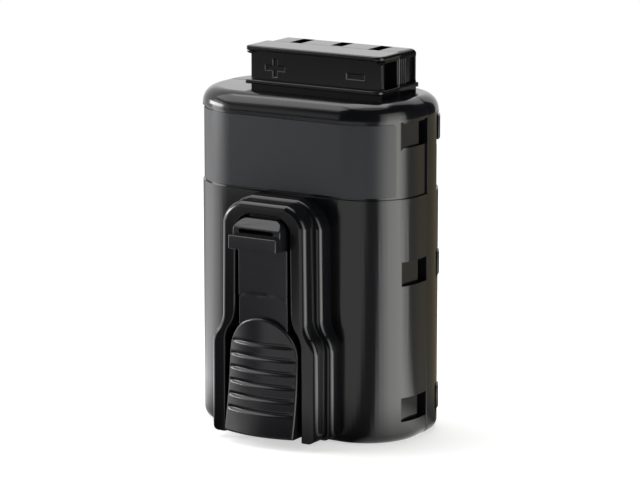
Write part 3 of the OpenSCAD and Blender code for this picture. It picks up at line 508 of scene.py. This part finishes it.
def padFace(dims, x, z):
    # how far out the pad's face lies: scooped from top to foot, crowned across, with grooves that run out
    # at the sides
    half = dims["halfWidth"]
    startZ = dims["top"] - half / 2
    run = startZ - dims["low"]
    ringRadius = (run ** 2 + dims["swing"] ** 2) / (2 * dims["swing"])
    barrelRadius = (half ** 2 + dims["crown"] ** 2) / (2 * dims["crown"])
    swing = ringRadius - math.sqrt(ringRadius ** 2 - (startZ - z) ** 2)
    sink = barrelRadius - math.sqrt(barrelRadius ** 2 - x ** 2)
    headZ = dims["top"] - half
    edge = half - (math.hypot(x, z - headZ) if z > headZ else abs(x))
    edge = max(0, min(edge, z - dims["low"]))
    along = ringRadius * math.asin((startZ - z) / ringRadius) - dims["grooveStart"]
    nearest = min(dims["grooves"] - 1, max(0, round(along / dims["groovePitch"])))
    offset = min(1, abs(along - nearest * dims["groovePitch"]) / dims["grooveHalf"])
    runOut = min(1, max(0, edge - dims["grooveEdge"]) / dims["grooveFade"])
    sink += dims["grooveDepth"] * (0.5 + 0.5 * math.cos(math.pi * offset)) * math.sin(math.pi / 2 * runOut)
    rim = dims["rimRound"]
    if edge < rim:
        sink += rim - math.sqrt(rim ** 2 - (rim - edge) ** 2)
    return dims["crownY"] - swing + sink


def addPad(bm, dims):
    rows = dims["bodyRows"] + dims["headRows"]
    made = bmesh.ops.create_grid(bm, x_segments=dims["columns"], y_segments=rows, size=1)
    half = dims["halfWidth"]
    headZ = dims["top"] - half
    bodyShare = dims["bodyRows"] / rows
    for vert in made["verts"]:
        across = math.sin(math.pi / 2 * vert.co.x)
        up = (vert.co.y + 1) / 2
        z, reach = dims["low"] + (headZ - dims["low"]) * up / bodyShare, half
        if up > bodyShare:
            turn = (up - bodyShare) / (1 - bodyShare) * math.pi / 2
            z, reach = headZ + half * math.sin(turn), half * math.cos(turn)
        vert.co = Vector((across * reach, padFace(dims, across * reach, z), z)) * mm
    faces = {face for vert in made["verts"] for face in vert.link_faces}
    rim = [edge for edge in {e for face in faces for e in face.edges} if edge.is_boundary]
    skirt = bmesh.ops.extrude_edge_only(bm, edges=rim)["geom"]
    for item in skirt:
        if isinstance(item, bmesh.types.BMVert):
            item.co.y = dims["back"] * mm
    bmesh.ops.holes_fill(bm, edges=[e for e in skirt if isinstance(e, bmesh.types.BMEdge) and e.is_boundary])


def addRod(bm, dims, radius, half):
    place = Matrix.Translation(Vector((0, dims["pivotY"], dims["pivotZ"])) * mm)
    bmesh.ops.create_cone(bm, cap_ends=True, segments=dims["rodSides"], radius1=radius * mm,
                          radius2=radius * mm, depth=2 * half * mm,
                          matrix=place @ Matrix.Rotation(math.pi / 2, 4, "Y"))


def shapeArm(bm, dims):
    # the crease becomes a short slope with a small lip below it, the slot goes deeper
    crease, slot = dims["crease"], dims["slot"]

    def inSlot(p):
        return abs(p.x) < slot["half"] and slot["low"] < p.z < slot["high"]

    def onCreaseFoot(p):
        return (crease["low"] < p.z < crease["footHigh"] and abs(p.x) < crease["footHalf"]
                and crease["footFrom"] < crease["y"] - p.y < crease["footTo"])

    for vert in bm.verts:
        if onPlane(vert.co.y / mm, crease["y"]) and vert.co.z / mm > crease["above"]:
            vert.co.z -= crease["slope"] * mm
        if onPlane(vert.co.y / mm, slot["backY"]) and inSlot(vert.co / mm):
            vert.co.y = slot["deepY"] * mm
    roundEdges(bm, dims["edgeRound"], lambda e, p: e.is_convex and p.y < dims["roundFrontOf"]
               and not inSlot(p), leastAngle=30, clamp=False)
    roundEdges(bm, crease["lip"], lambda e, p: onPlane(p.y, crease["y"])
               and crease["low"] < p.z < crease["high"]
               and climb(e) < abs(e.verts[0].co.x - e.verts[1].co.x) / mm, 1, leastAngle=6, clamp=False)
    for vert in bm.verts:
        if onCreaseFoot(vert.co / mm):
            vert.co.y += crease["deep"] * mm


def buildLever(dims, pad):
    bm = mergedCopy("latch_lever")
    cutPlane(bm, (0, 0, dims["cutZ"]), (0, 0, 1), clear_inner=True)
    rim = [edge for edge in bm.edges if edge.is_boundary]
    for item in bmesh.ops.extrude_edge_only(bm, edges=rim)["geom"]:
        if isinstance(item, bmesh.types.BMVert):
            item.co.z = dims["armFoot"] * mm
    closeHoles(bm)
    shapeArm(bm, dims)
    addPad(bm, pad)
    addRod(bm, dims, dims["footRadius"], dims["footHalf"])
    addRod(bm, dims, dims["trunnionRadius"], dims["trunnionHalf"])
    addBox(bm, (0, (pad["back"] + dims["pivotY"]) / 2, (dims["webLow"] + dims["webHigh"]) / 2),
           (2 * dims["footHalf"], dims["pivotY"] - pad["back"], dims["webHigh"] - dims["webLow"]))
    bmesh.ops.remove_doubles(bm, verts=bm.verts, dist=weld / 2)
    bmesh.ops.recalc_face_normals(bm, faces=bm.faces)
    dressPiece(meshObject("latchLeverMoulding", bm, 40), "latch", "latch_plastic", "latch_lever")


buildLever(latchLever, thumbPad)


# return spring, one wire wound behind the arm
latchSpring = {"backY": -15.5, "frontY": -21.4, "middleZ": 33.0, "coilRadius": 2.2, "wireRadius": 0.3,
               "wireSides": 12, "turns": 5, "stepsPerTurn": 28, "keep": 0.53}


def buildSpring(dims):
    bm = bmesh.new()
    bmesh.ops.create_circle(bm, segments=dims["wireSides"], radius=dims["wireRadius"] * mm)
    start = Vector((dims["coilRadius"], dims["backY"], dims["middleZ"]))
    bmesh.ops.translate(bm, verts=bm.verts, vec=start * mm)
    steps = dims["turns"] * dims["stepsPerTurn"]
    bmesh.ops.spin(bm, geom=bm.verts[:] + bm.edges[:], cent=(0, 0, dims["middleZ"] * mm), axis=(0, 1, 0),
                   dvec=(0, (dims["frontY"] - dims["backY"]) * mm / steps, 0),
                   angle=2 * math.pi * dims["turns"], steps=steps)
    closeHoles(bm)
    spring = dressPiece(meshObject("latchSpringWire", bm, 50), "pack", "spring_steel", "latch_spring")
    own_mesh(spring)


buildSpring(latchSpring)


def pointAt(thing, spot, aim):
    thing.location = spot
    thing.rotation_euler = (Vector(aim) - Vector(spot)).to_track_quat("-Z", "Y").to_euler()
    scene.collection.objects.link(thing)


# camera at the photographed view
view = {"place": (0.34888, -0.57286, 0.18078), "aim": (-0.00052, 0.0, 0.03815), "lens": 186.3,
        "sensor": 36.0, "nearest": 0.01}
cameraData = bpy.data.cameras.new("camera")
cameraData.lens = view["lens"]
cameraData.sensor_width = view["sensor"]
cameraData.clip_start = view["nearest"]
camera = bpy.data.objects.new("camera", cameraData)
pointAt(camera, view["place"], view["aim"])
scene.camera = camera

# studio: a table that glows in reflections and looks like white paper to the camera, glowing cards at
# the left and right, a dark screen round the front, right and back, and soft boxes above, at the left
# and behind; levels give an angle from the front, towards the right, the brightness there and a tint
warm, olive = (1.0, 1.0, 0.95), (1.0, 0.84, 0.5)
studio = {"peak": 5.0, "tableRadius": 0.42, "tableSides": 96, "tableDrop": 0.0001, "wallSteps": 48,
          "shadeFrom": 0.03, "shadeTo": 0.055, "shadeLevel": 0.3, "whiteFrom": 0.16, "whiteTo": 0.4,
          "paper": (0.8, 0.8, 0.8), "paperLift": 0.55, "screenTone": (0.02, 0.02, 0.02), "softWorld": 0.5,
          "tableLevels": [(-180, 0.12), (-140, 0.15), (-121, 0.4), (-107, 1.2), (-92, 2.1), (-80, 2.9),
                          (-62, 2.4), (-47, 0.35), (-40, 0.06), (-25.5, 0.06), (-22.5, 0.95), (24, 0.95),
                          (31, 0.2), (48, 0.14), (55, 2.4), (70, 4.5, warm), (92, 5.0, warm),
                          (101, 3.4, warm), (114, 0.4, warm), (150, 0.36, olive), (180, 0.33, olive)]}
# each wall's foot and head give a radius and a height, its start and end an angle
walls = {"screen": {"foot": (0.45, 0.0), "head": (0.27, 0.72), "start": -36.0, "end": 165.0},
         "lowCard": {"foot": (0.258, 0.0065), "head": (0.258, 0.0185), "start": -60.0, "end": -24.5,
                     "levels": [(-90, 1.9), (-20, 1.9)]},
         "sideCard": {"foot": (0.258, 0.019), "head": (0.258, 0.053), "start": -78.0, "end": -47.0,
                      "levels": [(-90, 5.0), (-56, 4.9), (-49, 2.0), (-45, 0.6)]},
         "highCard": {"foot": (0.258, 0.053), "head": (0.258, 0.19), "start": -78.0, "end": -24.0,
                      "fade": (0.1, 0.19),
                      "levels": [(-90, 5.0), (-56, 4.9), (-49, 2.2), (-40, 0.8), (-20, 0.6)]},
         "rightCard": {"foot": (0.415, 0.0), "head": (0.35, 0.32), "start": 52.0, "end": 106.0,
                       "fade": (0.0, 0.42),
                       "levels": [(50, 0.4), (70, 4.2, warm), (92, 4.6, warm), (106, 1.0, warm)]}}
lamps = {"overheadBox": {"spot": (-0.15, 0.15, 0.8), "aim": (0, 0, 0.05), "size": (0.6, 0.5),
                         "radiance": 2.8},
         "leftLamp": {"spot": (-0.2225, -0.09, 0.082), "aim": (0, 0, 0.06), "size": (0.17, 0.046),
                      "radiance": 11.0},
         "upperLeftBox": {"spot": (-0.4, -0.18, 0.52), "aim": (0, 0, 0.06), "size": (0.42, 0.36),
                          "radiance": 1.9},
         "sweepBox": {"spot": (-0.5, 0.85, 0.25), "aim": (0, 0, 0.07), "size": (0.6, 0.4),
                      "radiance": 0.12}}


def stageMesh(name, bm, material):
    mesh = bpy.data.meshes.new(name)
    bm.to_mesh(mesh)
    bm.free()
    made = bpy.data.objects.new(name, mesh)
    scene.collection.objects.link(made)
    mesh.materials.append(material)
    return made


def softBox(name, lamp):
    light = bpy.data.lights.new(name, "AREA")
    light.shape = "RECTANGLE"
    light.size, light.size_y = lamp["size"]
    light.energy = lamp["radiance"] * math.pi * light.size * light.size_y
    made = bpy.data.objects.new(name, light)
    made.visible_camera = False
    pointAt(made, lamp["spot"], lamp["aim"])


def glowRound(w, place, levels, strength=None):
    # light that changes with the angle round the middle of the table, weakened where a strength is given
    peak, plain = studio["peak"], (1, 1, 1)
    turned = w.node("ShaderNodeMapping", None,
                    {"Vector": place, "Rotation": (0, 0, math.radians(90))}, "Vector")
    turn = w.node("ShaderNodeTexGradient", {"gradient_type": "RADIAL"}, {"Vector": turned}, "Fac")
    stops = [((angle + 180) / 360, tuple(level / peak * part for part in (tint[0] if tint else plain)))
             for angle, level, *tint in levels]
    glow = w.node("ShaderNodeValToRGB", {"stops": stops}, {"Fac": turn}, "Color")
    if strength:
        glow = w.node("ShaderNodeVectorMath", {"operation": "SCALE"}, {0: glow, "Scale": strength}, "Vector")
    return w.node("ShaderNodeEmission", None, {"Color": glow, "Strength": peak}, "Emission")


def whiteGlow(w, strength):
    return w.node("ShaderNodeEmission", None, {"Color": (1, 1, 1, 1), "Strength": strength}, "Emission")


def spread(w, value, low, high, first=0.0, last=1.0):
    # goes from the first level to the last while the value goes from low to high
    return w.node("ShaderNodeMapRange", None, {"Value": value, "From Min": low, "From Max": high,
                                               "To Min": first, "To Max": last}, 0)


def mixed(w, factor, first, second):
    return w.node("ShaderNodeMixShader", None, {0: factor, 1: first, 2: second}, 0)


def cardMaterial(name, card):
    # a glowing card, which may fade out towards its head
    made, w = newMaterial(name)
    place = w.node("ShaderNodeTexCoord", out="Object")
    fade = None
    if "fade" in card:
        height = w.node("ShaderNodeSeparateXYZ", None, {0: place}, "Z")
        fade = spread(w, height, *card["fade"], 1.0, 0.0)
    w.node("ShaderNodeOutputMaterial", None, {"Surface": glowRound(w, place, card["levels"], fade)})
    return made


def tableMaterial(dims):
    made, w = newMaterial("paleTable")
    place = w.node("ShaderNodeTexCoord", out="Object")
    away = w.node("ShaderNodeVectorMath", {"operation": "LENGTH"}, {0: place}, "Value")
    # painted shadow: the table's glow is dimmed near its middle, where the pack's own shadow falls in the
    # light the table gives off
    shade = spread(w, away, dims["shadeFrom"], dims["shadeTo"], dims["shadeLevel"])
    lit = glowRound(w, place, dims["tableLevels"], shade)
    paper = w.node("ShaderNodeBsdfDiffuse", None, {"Color": dims["paper"] + (1,)}, "BSDF")
    lifted = w.node("ShaderNodeAddShader", None, {0: paper, 1: whiteGlow(w, dims["paperLift"])}, 0)
    seen = mixed(w, spread(w, away, dims["whiteFrom"], dims["whiteTo"]), lifted, whiteGlow(w, 1.0))
    isCamera = w.node("ShaderNodeLightPath", out="Is Camera Ray")
    w.node("ShaderNodeOutputMaterial", None, {"Surface": mixed(w, isCamera, lit, seen)})
    return made


def buildWorld(dims):
    # white where it is seen or mirrored, softer as a light
    world = bpy.data.worlds.new("whiteSweep")
    world.use_nodes = True
    world.node_tree.nodes.clear()
    w = Wire(world.node_tree)
    isCamera, isGlossy, isThrough = (w.node("ShaderNodeLightPath", out=kind) for kind in
                                     ("Is Camera Ray", "Is Glossy Ray", "Is Transmission Ray"))
    seen = w.maths("MINIMUM", isCamera + isGlossy + isThrough, 1.0)
    soft, white = (w.node("ShaderNodeBackground", None, {"Color": (1, 1, 1, 1), "Strength": strength}, 0)
                   for strength in (dims["softWorld"], 1.0))
    w.node("ShaderNodeOutputWorld", None, {"Surface": mixed(w, seen, soft, white)})
    scene.world = world


def buildStudio(dims):
    bm = bmesh.new()
    bmesh.ops.create_circle(bm, cap_ends=True, segments=dims["tableSides"], radius=dims["tableRadius"])
    bmesh.ops.translate(bm, verts=bm.verts, vec=(0, 0, -dims["tableDrop"]))
    stageMesh("table", bm, tableMaterial(dims))

    dark, w = newMaterial("darkScreen")
    cloth = w.node("ShaderNodeBsdfDiffuse", None, {"Color": dims["screenTone"] + (1,)}, "BSDF")
    w.node("ShaderNodeOutputMaterial", None, {"Surface": cloth})
    for name, wall in walls.items():
        start = math.radians(wall["start"])
        bm = bmesh.new()
        ends = [bm.verts.new((radius * math.sin(start), -radius * math.cos(start), z))
                for radius, z in (wall["foot"], wall["head"])]
        bmesh.ops.spin(bm, geom=ends + [bm.edges.new(ends)], cent=(0, 0, 0), axis=(0, 0, 1),
                       steps=dims["wallSteps"], angle=math.radians(wall["end"]) - start)
        stageMesh(name, bm, cardMaterial(name, wall) if "levels" in wall else dark).visible_camera = False

    for name, lamp in lamps.items():
        softBox(name, lamp)
    buildWorld(dims)


buildStudio(studio)
print("studio ready")
